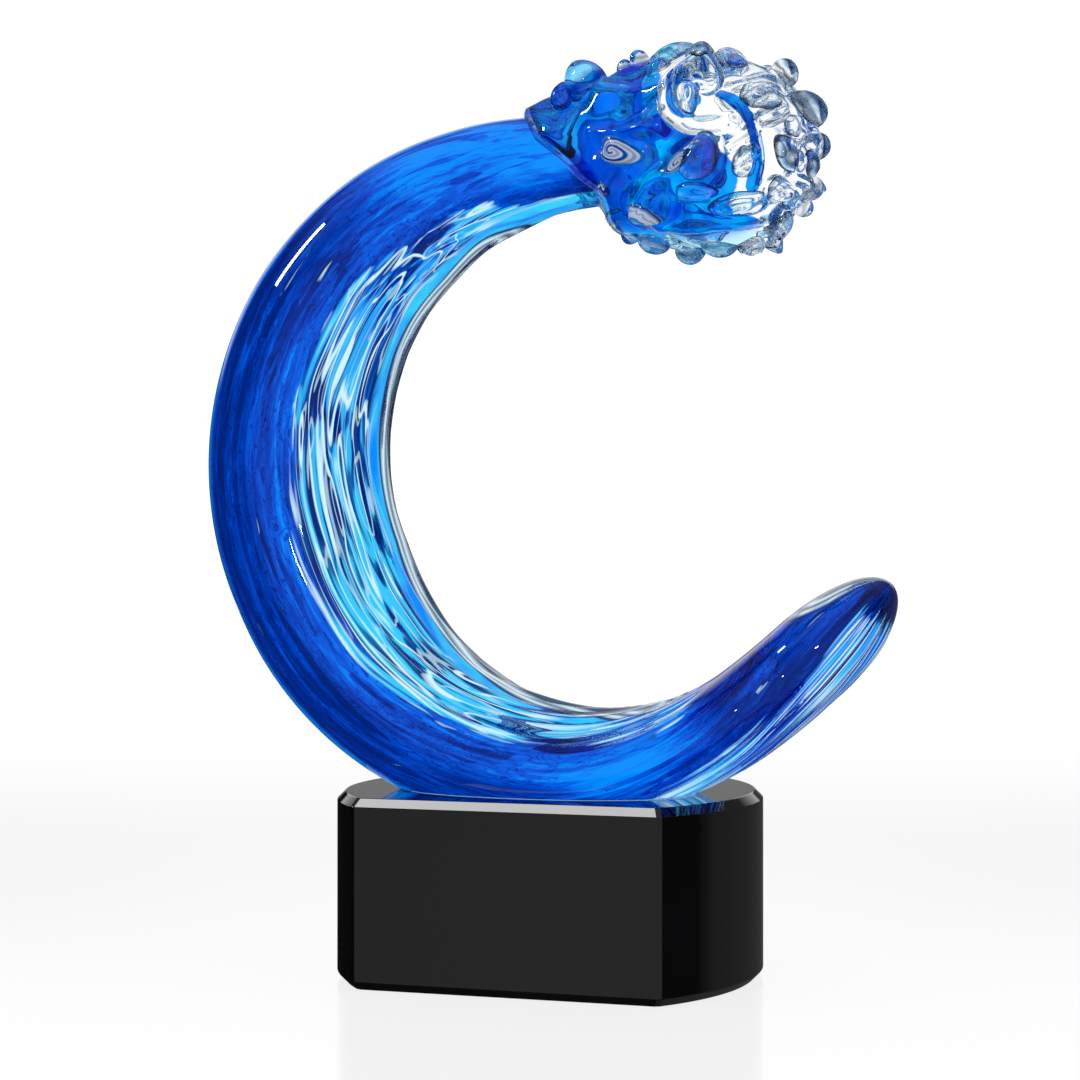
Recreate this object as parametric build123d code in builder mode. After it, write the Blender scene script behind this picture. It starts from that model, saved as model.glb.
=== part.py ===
from build123d import *
from math import asin, atan2, cos, degrees, hypot, pi, radians, sin, sqrt
import os

# Glass wave sculpture: a solid glass crescent with a foam crest, bonded to a black glass block.
# Millimetres, +Z up, front face towards -Y, origin at the centre of the block's underside.

# Base block
base_width = 102.0
base_depth = 76.0
base_height = 44.5
base_flat = 73.6  # straight length of the front and back faces between the bowed ends
base_bevel = 2.0
base_arris = 0.7  # the upright corners are only dulled

# Adhesive film between the wave's flat foot and the block
bond_film = 0.2

# Wave: an oval section carried round an arc, then along a flatter tail
wave_forward = 7.0  # the wave stands this far in front of the block's middle
wave_centre_x = 9.0
wave_radius = 71.7
foot_flat = 6.9  # depth ground off the wave's lowest point to make its foot
arm_angle = 76.0
belly_angle = 194.0
waist_angle = 305.0
arm_thick = 18.8
arm_depth = 22.0
belly_thick = 43.6
belly_depth = 52.0
waist_thick = 22.6
waist_depth = 47.0
section_step = 15.0  # degrees of the arc from one section to the next

# Tail: swells to a lobe, then closes in a long dome
tail_radius = 180.0
tail_neck = 18.0  # from the waist to the lobe, along the spine
lobe_thick = 22.8
lobe_depth = 37.0
tail_dome = 27.0
dome_shares = (0.0, 0.5, 0.8, 0.95)  # where the dome's sections stand, from the lobe to the tip

# Crest: a bell-shaped blue gather drawn over the arm, and a blunt clear nose
crest_ahead = 10.7  # from the arm's end to the crest's middle, along X
crest_above = 2.4  # the same, along Z
crest_tilt = -4.0
crest_half = 21.5
crest_straight = 7.0  # length of the round stretch between the gather's shoulder and the nose's dome
mouth_reach = 43.0
mouth_half = 6.5
colour_line = 4.0  # where the blue gather ends and the clear one begins, along the crest
mouth_slope = 46.0
mouth_offset = 28.0

# Foam drops pressed on to the crest: each one's place along the outline from the mouth,
# its turn about the crest's axis (0 up, 90 to the front) and its radius
drop_lift = 0.3  # share of its radius by which a drop's centre stands off the crest
foam_drops = [
    (20.0, 18, 5.6),
    (41.0, 12, 5.2),
    (46.5, 62, 4.4),
    (35.0, 100, 4.2),
    (53.0, 101, 4.6),
    (60.0, 132, 4.0),
    (39.0, 152, 3.6),
    (53.0, 175, 3.6),
    (69.0, 170, 3.6),
    (64.5, 58, 5.0),
    (76.0, 22, 4.6),
    (33.0, -70, 4.4),
    (52.0, -58, 4.6),
    (57.0, -112, 4.2),
]

os.makedirs("parts", exist_ok=True)


def finish(piece, name):
    piece.part.label = name
    export_step(piece.part, f"parts/{name}.step")


# Base block, with flat front and back, bowed ends and bevelled edges
with BuildPart() as base_block:
    with BuildSketch():
        with BuildLine():
            front = Line((-base_flat / 2, -base_depth / 2), (base_flat / 2, -base_depth / 2))
            back = Line((base_flat / 2, base_depth / 2), (-base_flat / 2, base_depth / 2))
            ThreePointArc(front @ 1, (base_width / 2, 0), back @ 0)
            ThreePointArc(back @ 1, (-base_width / 2, 0), front @ 0)
        make_face()
    extrude(amount=base_height)
    chamfer(base_block.edges().filter_by(Axis.Z), length=base_arris)
    chamfer(base_block.faces().sort_by(Axis.Z)[-1].edges(), length=base_bevel)
    chamfer(base_block.faces().sort_by(Axis.Z)[0].edges(), length=base_bevel)
finish(base_block, "base_block")

# Spine of the wave, on a plane parallel to the block's front face
foot_z = base_height + bond_film
wave_plane = Plane.XZ.offset(wave_forward)


def swell(angle):
    # Share of the belly's size: rises as a quarter sine from the arm, falls as a half cosine to the waist
    if angle < belly_angle:
        return sin(pi / 2 * (angle - arm_angle) / (belly_angle - arm_angle))
    return (1 + cos(pi * (angle - belly_angle) / (waist_angle - belly_angle))) / 2


def oval(angle):
    # Half thickness and half depth of the wave's section at an angle of the main arc
    end_thick = arm_thick if angle < belly_angle else waist_thick
    end_depth = arm_depth if angle < belly_angle else waist_depth
    share = swell(angle)
    thick = end_thick + (belly_thick - end_thick) * share
    depth = end_depth + (belly_depth - end_depth) * share
    return thick / 2, depth / 2


lowest_angle = 270.0
wave_centre_z = foot_z - foot_flat + wave_radius + oval(lowest_angle)[0]
tail_length = tail_neck + tail_dome

with BuildLine(wave_plane):
    main_arc = CenterArc((wave_centre_x, wave_centre_z), wave_radius, arm_angle, waist_angle - arm_angle)
    tail_arc = JernArc(main_arc @ 1, main_arc % 1, tail_radius, degrees(tail_length / tail_radius))


def square_to(line, share):
    return Plane(origin=line @ share, x_dir=(0, 1, 0), z_dir=line % share)


sections = []
step_count = round((waist_angle - arm_angle) / section_step)
for step in range(step_count + 1):
    share = step / step_count
    half_thick, half_depth = oval(arm_angle + (waist_angle - arm_angle) * share)
    with BuildSketch(square_to(main_arc, share)) as section:
        Ellipse(half_depth, half_thick)
    sections.append(section.sketch)
for reach in dome_shares:
    share = (tail_neck + tail_dome * reach) / tail_length
    dome = sqrt(1 - reach**2)
    with BuildSketch(square_to(tail_arc, share)) as section:
        Ellipse(lobe_depth / 2 * dome, lobe_thick / 2 * dome)
    sections.append(section.sketch)

with BuildPart() as wave_body:
    loft([*sections, Vertex(*(tail_arc @ 1))])
    split(bisect_by=Plane.XY.offset(foot_z), keep=Keep.TOP)
finish(wave_body, "wave_body")

# Adhesive film under the ground foot
foot_face = wave_body.faces().filter_by(Axis.Z).sort_by(Axis.Z)[0]
with BuildPart() as bond:
    extrude(foot_face, amount=bond_film)
finish(bond, "bond_film")

# Crest outline in its own plane: X along the crest, Y out from its axis.
# A straight flare from the mouth runs into the round shoulder, and the nose closes in a dome.
crest_plane = Plane(
    origin=main_arc @ 0 + Vector(crest_ahead, 0, crest_above),
    x_dir=(cos(radians(crest_tilt)), 0, sin(radians(crest_tilt))),
    z_dir=(0, -1, 0),
)
crest_axis = Axis(crest_plane.origin, crest_plane.x_dir)
mouth_lean = degrees(asin(crest_half / hypot(mouth_reach, mouth_half)) - atan2(mouth_half, mouth_reach))
with BuildLine() as crest_outline:
    shoulder = CenterArc((0, 0), crest_half, 90 + mouth_lean, -mouth_lean)
    nose_dome = CenterArc((crest_straight, 0), crest_half, 90, -90)
    Line((-mouth_reach, mouth_half), shoulder @ 0)
    Line(shoulder @ 1, nose_dome @ 0)

with BuildPart() as crest_gather:
    with BuildSketch(crest_plane):
        add(crest_outline.line)
        with BuildLine():
            Polyline(nose_dome @ 1, (-mouth_reach, 0), (-mouth_reach, mouth_half))
        make_face()
    revolve(axis=crest_axis)

colour_plane = Plane(crest_plane.from_local_coords((colour_line, 0, 0)), z_dir=crest_plane.x_dir)
mouth_plane = Plane(
    crest_plane.from_local_coords((-mouth_offset, 0, 0)),
    z_dir=(sin(radians(mouth_slope)), 0, cos(radians(mouth_slope))),
)
with BuildPart() as crest_hood:
    add(crest_gather.part)
    split(bisect_by=colour_plane, keep=Keep.BOTTOM)
    split(bisect_by=mouth_plane, keep=Keep.TOP)
    add(wave_body.part, mode=Mode.SUBTRACT)
finish(crest_hood, "crest_hood")

with BuildPart() as crest_nose:
    add(crest_gather.part)
    split(bisect_by=colour_plane, keep=Keep.TOP)
finish(crest_nose, "crest_nose")


def drop_seat(place, turn, radius):
    # A drop's axis stands square to the outline, on a plane turned about the crest's axis
    spot = crest_line.position_at(place, position_mode=PositionMode.LENGTH)
    along = crest_line.tangent_at(place, position_mode=PositionMode.LENGTH)
    square = Vector(-along.Y, along.X)
    turned = crest_plane.rotated((turn, 0, 0))
    centre = turned.from_local_coords(spot + square * radius * drop_lift)
    return Plane(centre, z_dir=centre - turned.from_local_coords(spot))


crest_line = crest_outline.wires()[0]
for number, (place, turn, radius) in enumerate(foam_drops, 1):
    with BuildPart() as drop:
        with Locations(drop_seat(place, turn, radius)):
            Sphere(radius)
        add(crest_hood.part, mode=Mode.SUBTRACT)
        add(crest_nose.part, mode=Mode.SUBTRACT)
    finish(drop, f"foam_drop_{number:02d}")
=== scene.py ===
from math import acos, asin, atan, atan2, cos, hypot, pi, radians, sin, sqrt

import bpy
import numpy as np
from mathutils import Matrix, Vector


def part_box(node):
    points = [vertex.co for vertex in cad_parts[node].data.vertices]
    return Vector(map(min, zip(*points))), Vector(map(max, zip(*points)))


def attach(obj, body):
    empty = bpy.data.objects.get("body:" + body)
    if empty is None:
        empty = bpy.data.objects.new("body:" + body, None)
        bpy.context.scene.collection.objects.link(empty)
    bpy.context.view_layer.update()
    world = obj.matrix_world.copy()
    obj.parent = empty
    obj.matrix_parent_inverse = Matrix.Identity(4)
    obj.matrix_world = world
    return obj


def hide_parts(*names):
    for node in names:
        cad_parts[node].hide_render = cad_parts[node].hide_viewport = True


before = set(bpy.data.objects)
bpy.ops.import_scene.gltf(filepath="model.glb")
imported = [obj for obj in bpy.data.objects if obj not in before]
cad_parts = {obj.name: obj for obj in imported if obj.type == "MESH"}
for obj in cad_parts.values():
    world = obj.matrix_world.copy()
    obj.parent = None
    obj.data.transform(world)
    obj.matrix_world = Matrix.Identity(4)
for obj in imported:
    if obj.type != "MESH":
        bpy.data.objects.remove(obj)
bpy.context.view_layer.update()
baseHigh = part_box("base_block")[1]
print("frame loaded:", len(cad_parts), "nodes")

mm = 0.001
pieceBody = "root"


# Mesh helpers

# Rings of points joined by quads, wrapped round, and drawn together to one point at each end
def skinOf(rings, startPoint, endPoint):
    count, around = rings.shape[:2]
    grid = np.arange(count * around).reshape(count, around)
    turned = np.roll(grid, -1, axis=1)
    quads = np.stack([grid[:-1], turned[:-1], turned[1:], grid[1:]], -1).reshape(-1, 4)
    startFan = np.stack([np.full(around, count * around), turned[0], grid[0]], -1)
    endFan = np.stack([np.full(around, count * around + 1), grid[-1], turned[-1]], -1)
    points = np.vstack([rings.reshape(-1, 3), [startPoint], [endPoint]])
    fans = np.vstack([startFan, endFan])
    corners = np.vstack([quads[:, :3], quads[:, [0, 2, 3]], fans])
    a, b, c = (points[corners[:, side]] for side in range(3))
    if (a * np.cross(b, c)).sum() < 0:  # a negative volume means the faces look inwards
        quads, fans = quads[:, ::-1], fans[:, ::-1]
    return points, quads, fans


# Several skins in one mesh, each one's faces counted on from the points before it
def joinSkins(skins):
    starts = np.cumsum([0] + [len(points) for points, quads, fans in skins[:-1]])
    points = np.vstack([skin[0] for skin in skins])
    quads = np.vstack([skin[1] + start for skin, start in zip(skins, starts)])
    fans = np.vstack([skin[2] + start for skin, start in zip(skins, starts)])
    return points, quads, fans


def newPiece(name, skin, material, replaced=(), shares=None):
    points, quads, fans = skin
    mesh = bpy.data.meshes.new(name)
    mesh.from_pydata(points.tolist(), [], quads.tolist() + fans.tolist())
    mesh.shade_smooth()
    for share, values in (shares or {}).items():
        kind, key = ("FLOAT", "value") if values.ndim == 1 else ("FLOAT_VECTOR", "vector")
        mesh.attributes.new(share, kind, "POINT").data.foreach_set(key, values.astype(np.float32).ravel())
    mesh.materials.append(material)
    piece = bpy.data.objects.new(name, mesh)
    bpy.context.scene.collection.objects.link(piece)
    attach(piece, pieceBody)
    if replaced:
        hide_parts(*replaced)
    print("piece", name, len(points), "points")
    return piece


def smoothStep(low, high, value):
    share = np.clip((value - low) / (high - low), 0, 1)
    return share * share * (3 - 2 * share)


# Sum of plane sine waves at the given points; each wave is its vector in turns per metre, height and phase
def waveSum(points, waves):
    return sum(height * np.sin(2 * pi * (points @ np.array(turns)) + phase) for turns, height, phase in waves)


# Material helpers

def newMaterial(name):
    material = bpy.data.materials.new(name)
    material.use_nodes = True
    return material, material.node_tree, material.node_tree.nodes["Principled BSDF"]


def feed(tree, socket, value):
    if isinstance(value, bpy.types.NodeSocket):
        tree.links.new(value, socket)
    elif isinstance(value, tuple) and socket.type == "RGBA":
        socket.default_value = (*value, 1)
    else:
        socket.default_value = value


def addNode(tree, kind, inputs=None, **settings):
    node = tree.nodes.new(kind)
    for key, value in settings.items():
        setattr(node, key, value)
    for key, value in (inputs or {}).items():
        feed(tree, node.inputs[key], value)
    return node


def addRamp(tree, factor, stops):
    ramp = addNode(tree, "ShaderNodeValToRGB", {"Fac": factor})
    elements = ramp.color_ramp.elements
    while len(elements) < len(stops):
        elements.new(1)
    for element, (place, colour) in zip(elements, stops):
        element.position = place
        element.color = (*colour, 1)
    return ramp.outputs["Color"]


def addMath(tree, operation, *values):
    return addNode(tree, "ShaderNodeMath", dict(enumerate(values)), operation=operation).outputs["Value"]


def addMix(tree, factor, first, second):
    node = addNode(tree, "ShaderNodeMix", data_type="RGBA")
    sockets = {socket.identifier: socket for socket in [*node.inputs, *node.outputs]}
    feed(tree, sockets["Factor_Float"], factor)
    feed(tree, sockets["A_Color"], first)
    feed(tree, sockets["B_Color"], second)
    return sockets["Result_Color"]


def objectPlace(tree):
    return addNode(tree, "ShaderNodeTexCoord").outputs["Object"]


def addMapped(tree, place, stretch):
    return addNode(tree, "ShaderNodeMapping", {"Vector": place, "Scale": stretch}).outputs["Vector"]


def addRange(tree, value, low, high, top=1.0, bottom=0.0):
    limits = {"Value": value, "From Min": low, "From Max": high, "To Min": bottom, "To Max": top}
    return addNode(tree, "ShaderNodeMapRange", limits).outputs["Result"]


def addNoise(tree, place, stretch, detail=2.0, distortion=0.0, output="Fac"):
    mapped = addMapped(tree, place, stretch)
    inputs = {"Vector": mapped, "Scale": 1.0, "Detail": detail, "Distortion": distortion}
    return addNode(tree, "ShaderNodeTexNoise", inputs).outputs[output]


# A noise scaled to a reach and set evenly about nought
def addSpread(tree, noise, reach):
    return addMath(tree, "MULTIPLY_ADD", noise, reach, -reach / 2)


# Level lines of a noise: nought on a line, a half midway between two
def addLevels(tree, noise, count):
    return addMath(tree, "PINGPONG", addMath(tree, "MULTIPLY", noise, count), 0.5)


# Long flakes drawn out by the stretch, each with a value of its own
def addFlakes(tree, place, stretch):
    inputs = {"Vector": addMapped(tree, place, stretch), "Scale": 1.0}
    flake = addNode(tree, "ShaderNodeTexVoronoi", inputs, feature="F1").outputs["Color"]
    return addNode(tree, "ShaderNodeSeparateColor", {"Color": flake}).outputs["Red"]


def addAttribute(tree, name, output="Fac"):
    return addNode(tree, "ShaderNodeAttribute", attribute_name=name).outputs[output]


bareGlass = (0.98, 0.985, 0.98)


# Slight waviness that all hand-worked glass here shares
def makeHandWork():
    group = bpy.data.node_groups.new("handWorkedGlass", "ShaderNodeTree")
    group.interface.new_socket("Place", in_out="INPUT", socket_type="NodeSocketVector")
    group.interface.new_socket("Height", in_out="OUTPUT", socket_type="NodeSocketFloat")
    place = addNode(group, "NodeGroupInput").outputs["Place"]
    sway = addNode(group, "ShaderNodeTexNoise", {"Vector": place, "Scale": 1.0, "Detail": 1.5})
    addNode(group, "NodeGroupOutput", {"Height": sway.outputs["Fac"]})
    return group


handWork = makeHandWork()


# Puts the shared waviness on a glass material and makes it clear to the light
def finishGlass(tree, shader, place, stretch, strength, clearness=1.0):
    work = addNode(tree, "ShaderNodeGroup", {"Place": addMapped(tree, place, stretch)}, node_tree=handWork)
    inputs = {"Strength": strength, "Distance": 1 * mm, "Height": work.outputs["Height"]}
    feed(tree, shader.inputs["Normal"], addNode(tree, "ShaderNodeBump", inputs).outputs["Normal"])
    shader.inputs["Transmission Weight"].default_value = clearness
    shader.inputs["Roughness"].default_value = 0.0
    shader.inputs["IOR"].default_value = 1.5


# Base block

baseShape = dict(
    flat=73.6 * mm,
    bevel=2.0 * mm,
    arris=0.7 * mm,
    bowPoints=60,
    edgeRound=0.15 * mm,
    roundSegments=2,
    roundAngle=20.0,  # edges bent more than this are rounded
    sharpAngle=12.0,  # and those bent more than this are shaded sharp
)


# Outline of the block, drawn in by an inset: two straight sides and two bows, with the corners dulled
def baseOutline(inset):
    halfWidth, halfDepth = baseHigh.x, baseHigh.y
    rise = halfWidth - baseShape["flat"] / 2
    bowRadius = (halfDepth**2 + rise**2) / (2 * rise)
    bowCentre = halfWidth - bowRadius
    radius, side = bowRadius - inset, halfDepth - inset
    flatEnd = bowCentre + sqrt(radius**2 - side**2) - baseShape["arris"]
    reach = asin(side / radius) - baseShape["arris"] / radius
    swing = np.linspace(-reach, reach, baseShape["bowPoints"])
    bow = np.stack([bowCentre + radius * np.cos(swing), radius * np.sin(swing)], -1)
    frontSide = np.array([[-flatEnd, -side], [flatEnd, -side]])
    return np.vstack([frontSide, bow, -frontSide, -bow])


def makeBase(material):
    bevel, top = baseShape["bevel"], baseHigh.z
    levels = [(bevel, 0.0), (0.0, bevel), (0.0, top - bevel), (bevel, top)]
    outlines = [np.insert(baseOutline(inset), 2, height, axis=1) for inset, height in levels]
    skin = skinOf(np.array(outlines), (0, 0, 0), (0, 0, top))
    piece = newPiece("base_black_glass", skin, material, ["base_block"])
    piece.data.set_sharp_from_angle(angle=radians(baseShape["sharpAngle"]))
    edges = piece.modifiers.new("edges", "BEVEL")
    edges.width = baseShape["edgeRound"]
    edges.segments = baseShape["roundSegments"]
    edges.angle_limit = radians(baseShape["roundAngle"])
    piece.visible_transmission = False  # through the wave the white room shows, which keeps the foot bright
    return piece


def blackGlass():
    material, tree, shader = newMaterial("blackGlass")
    place = objectPlace(tree)
    cloud = addNoise(tree, place, (14, 14, 14), 3.0)
    haze = addNoise(tree, place, (900, 900, 260), 3.0)
    tints = [(0.3, (0.0015, 0.0015, 0.002)), (0.7, (0.004, 0.004, 0.005))]
    polish = [(0.35, (0.015,) * 3), (0.8, (0.05,) * 3)]
    feed(tree, shader.inputs["Base Color"], addRamp(tree, cloud, tints))
    feed(tree, shader.inputs["Roughness"], addRamp(tree, haze, polish))
    shader.inputs["IOR"].default_value = 1.6
    shader.inputs["Specular IOR Level"].default_value = 1.0
    return material


base = makeBase(blackGlass())


# Adhesive film, a CAD node that keeps its shape

def clearAdhesive():
    material, tree, shader = newMaterial("clearAdhesive")
    cloud = addNoise(tree, objectPlace(tree), (120, 120, 120), 3.0)
    tints = [(0.3, (0.01, 0.05, 0.20)), (0.7, (0.03, 0.10, 0.34))]
    feed(tree, shader.inputs["Base Color"], addRamp(tree, cloud, tints))
    shader.inputs["Transmission Weight"].default_value = 1.0
    shader.inputs["Roughness"].default_value = 0.12
    return material


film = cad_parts["bond_film"]
film.data.materials.clear()
film.data.materials.append(clearAdhesive())
film.visible_transmission = False  # wetted to the foot, so it doesn't part the light inside the wave
film.visible_glossy = False


# Wave

waveShape = dict(
    forward=7.0 * mm,
    centreX=9.0 * mm,
    radius=71.7 * mm,
    footFlat=6.9 * mm,
    bondFilm=0.2 * mm,
    armAngle=76.0,
    bellyAngle=194.0,
    waistAngle=305.0,
    arm=(18.8 * mm, 22.0 * mm),  # thickness and depth of the section
    belly=(43.6 * mm, 52.0 * mm),
    waist=(22.6 * mm, 47.0 * mm),
    lobe=(22.8 * mm, 37.0 * mm),
    tailRadius=180.0 * mm,
    tailNeck=18.0 * mm,
    tailDome=27.0 * mm,
    armCap=5.0 * mm,
    # how far the outer side swells and the inner one hollows at these angles, in mm
    unevenAngles=(76, 100, 112, 127, 150, 175, 203, 225, 242, 270, 305, 325, 341),
    outerSwell=(-1.7, -1.7, -1.2, 0.0, 0.7, 0.0, -1.0, 0.0, 0.7, 0.0, -0.6, -1.3, -0.8),
    innerHollow=(0.0, 0.2, 0.6, 0.3, 0.8, 0.0, -0.9, -0.2, 0.6, 0.4, 0.5, 0.0, 0.0),
    thinHalf=8.0 * mm,  # sections thinner than this have less relief
    mainRings=420,
    capRings=16,
    domeRings=36,
    around=160,
)
mainLength = waveShape["radius"] * radians(waveShape["waistAngle"] - waveShape["armAngle"])
waveLength = mainLength + waveShape["tailNeck"] + waveShape["tailDome"]

# Ridges pressed along the glass: turns per metre (along, across, in depth), height, phase
waveRipples = [
    ((9, 150, 60), 0.20 * mm, 0.3),
    ((-6, 215, -90), 0.14 * mm, 1.9),
    ((14, 110, 170), 0.18 * mm, 4.0),
    ((4, 270, 40), 0.09 * mm, 2.2),
    ((-12, 80, -210), 0.14 * mm, 5.1),
]


# Where the colours lie, by the share of the wave's length and by lie, the place across it as the camera
# sees it, from -1 at the outer edge to 1 at the inner one
waveColours = dict(
    sight=17.2,  # the camera's heading
    tailTwist=55.0,
    twistReach=(0.72, 1.0),
    plainTip=(0.955, 0.995),  # the streaks end here
    bandSoft=0.22,
    # borders of the streaked band along the inner side and of the one along the tail's outer side
    bandStart=((0.0, 0.087, 0.115, 0.147, 0.22, 0.33, 0.50, 0.60, 0.68, 0.76, 0.83, 0.87),
               (0.90, 0.79, 0.60, 0.40, 0.24, 0.04, 0.0, 0.12, 0.30, 0.52, 0.72, 1.3)),
    tailStart=((0.72, 0.80, 0.86, 0.93, 0.97, 1.0), (-1.3, -0.60, -0.25, 0.0, 0.30, 0.5)),
    # more white in the streaks, blue in place of teal between them, and where the hood's lip lies
    white=((0.0, 0.10, 0.17, 0.33, 0.45, 0.60, 0.72, 0.80, 0.90, 1.0),
           (0.28, 0.14, -0.05, -0.06, -0.03, -0.01, 0.10, 0.10, -0.02, -0.01)),
    blueGaps=((0.0, 0.10, 0.16, 0.26, 0.36, 0.46, 0.68, 0.78, 0.85, 1.0),
              (0.0, 0.3, 0.8, 0.8, 0.5, 0.25, 0.2, 0.6, 1.0, 0.9)),
    hooded=((-1.0, -0.5, 0.0, 0.5, 0.75, 1.0), (0.079, 0.069, 0.045, 0.023, 0.021, 0.021)),
    strip=(0.80, 0.85),  # a plain aqua strip beside the bare inner edge, and where it ends
    stripEnd=(0.76, 0.84),
    rimFade=0.12,
    rimStart=(0.06, 0.16),
    rimEnd=(0.79, 0.87),
    tailRim=(0.90, 0.97),
    tailRimWidth=2.2,  # times as wide as along the inner edge
    hoodSoft=0.003,
    paleNear=(0.1, -0.3),  # the far side is paler, from back to front and away from both edges
    paleLie=(0.40, 0.75),
    # the tone across the wave at each lie; the bright azure at the outer edge is a painted light rim
    toneLie=(-1.0, -0.95, -0.87, -0.55, -0.20, 0.10, 0.35, 0.70),
    toneAcross=(0.96, 0.92, 0.30, 0.44, 0.60, 0.64, 0.50, 0.58),
    # soft patches: middle and half length along the wave, middle and half width across, shift of tone
    tonePatches=dict(
        armAzure=(0.03, 0.10, 0.10, 0.55, 0.52),
        armLine=(0.04, 0.08, 0.75, 0.22, -0.34),
        armTop=(0.12, 0.09, -0.70, 0.40, 0.55),
        shoulder=(0.24, 0.05, -0.55, 0.35, -0.10),
        shoulderLight=(0.31, 0.05, -0.50, 0.30, 0.10),
        foot=(0.785, 0.055, -0.50, 0.75, 0.34),
        waist=(0.81, 0.04, 0.55, 0.45, 0.32),
        waistLine=(0.87, 0.03, 0.75, 0.25, -0.20),
        tail=(0.93, 0.09, -0.30, 0.80, -0.34),
        # painted shade: a dark outline along the tail's outer edge
        tailEdgeShade=(0.93, 0.08, -1.00, 0.12, -0.45),
    ),
)


# The tone across the wave, with bell-shaped patches that lighten or darken it
def waveTone(share, lie):
    tone = np.interp(lie, waveColours["toneLie"], waveColours["toneAcross"])
    for middle, halfLength, across, halfWidth, shift in waveColours["tonePatches"].values():
        away = ((share - middle) / halfLength) ** 2 + ((lie - across) / halfWidth) ** 2
        tone = tone + shift * np.exp(-away)
    return tone


# Half thickness and half depth along the wave: a quarter sine from the arm up to the belly, a half cosine
# down to the waist, an even step to the tail's lobe, and a round closing at both ends
def waveHalves(along):
    angle = waveShape["armAngle"] + np.degrees(along / waveShape["radius"])
    armToBelly = waveShape["bellyAngle"] - waveShape["armAngle"]
    bellyToWaist = waveShape["waistAngle"] - waveShape["bellyAngle"]
    rise = np.sin(pi / 2 * np.clip((angle - waveShape["armAngle"]) / armToBelly, 0, 1))
    fall = (1 + np.cos(pi * np.clip((angle - waveShape["bellyAngle"]) / bellyToWaist, 0, 1))) / 2
    tail = smoothStep(0, waveShape["tailNeck"], along - mainLength)
    dome = np.clip((along - waveLength + waveShape["tailDome"]) / waveShape["tailDome"], 0, 1)
    cap = np.clip(-along / waveShape["armCap"], 0, 1)
    closing = np.sqrt(1 - dome**2) * np.sqrt(1 - cap**2)
    halves = []
    for arm, belly, waist, lobe in zip(*(waveShape[key] for key in ("arm", "belly", "waist", "lobe"))):
        before, after = arm + (belly - arm) * rise, waist + (belly - waist) * fall
        size = np.where(angle < waveShape["bellyAngle"], before, after)
        halves.append((size + (lobe - waist) * tail) * closing / 2)
    return halves


footZ = baseHigh.z + waveShape["bondFilm"]
lowestAlong = waveShape["radius"] * radians(270 - waveShape["armAngle"])
lowestHalf = waveHalves(np.array([lowestAlong]))[0][0]
waveCentreZ = footZ - waveShape["footFlat"] + waveShape["radius"] + lowestHalf


# The spine's point and the way to the inside of the curl: round the main arc, then along the flatter tail arc
def waveSpine(along):
    radius, tailRadius = waveShape["radius"], waveShape["tailRadius"]
    angle = radians(waveShape["armAngle"]) + np.minimum(along, mainLength) / radius
    heading = angle + pi / 2
    tailHeading = heading + np.maximum(along - mainLength, 0) / tailRadius
    x = waveShape["centreX"] + radius * np.cos(angle) + tailRadius * (np.sin(tailHeading) - np.sin(heading))
    z = waveCentreZ + radius * np.sin(angle) - tailRadius * (np.cos(tailHeading) - np.cos(heading))
    spine = np.stack([x, np.full_like(x, -waveShape["forward"]), z], -1)
    return spine, -np.sin(tailHeading), np.cos(tailHeading)


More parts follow.
